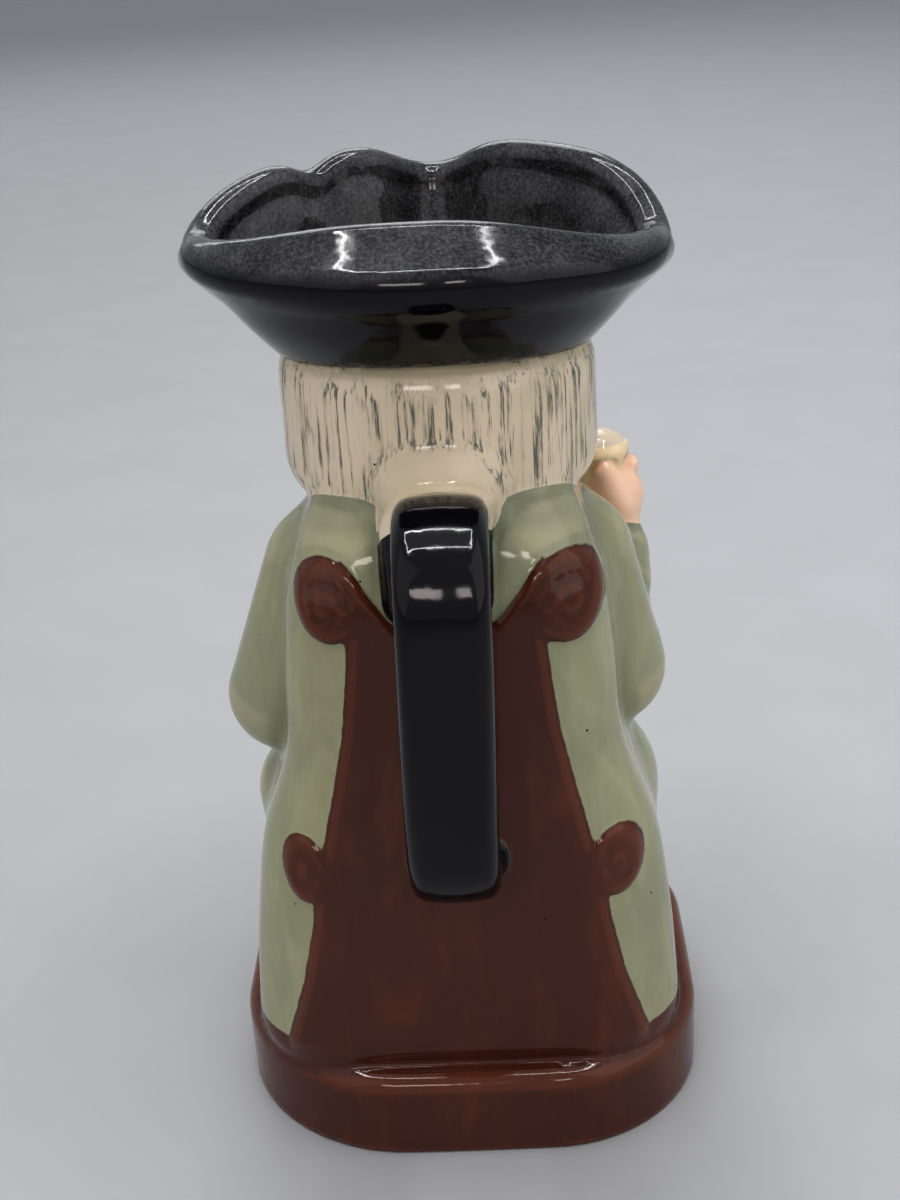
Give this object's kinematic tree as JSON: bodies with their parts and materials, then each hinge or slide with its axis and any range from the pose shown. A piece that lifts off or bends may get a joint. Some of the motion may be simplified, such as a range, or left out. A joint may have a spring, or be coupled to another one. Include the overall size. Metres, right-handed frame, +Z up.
{
  "type": "toby jug",
  "caption": "Glazed earthenware jug shaped as a seated man; his three-cornered hat is the mouth, and a strap handle runs from nape to chair back.",
  "frame": {"origin": "centre of the flat underside of the foot", "axes": "+Z up towards the hat; the figure faces -Y and the handle stands out along +Y; +X is the figure's left"},
  "size_m": [0.072, 0.084, 0.1401],
  "materials": {
    "glazed_body": "glossy clear glaze over hand-painted colours: black hat and handle, cream hair, sage-green coat, chestnut-brown chair and foot"
  },
  "bodies": {
    "root": {"toby_jug": "glazed_body"}
  },
  "joints": []
}
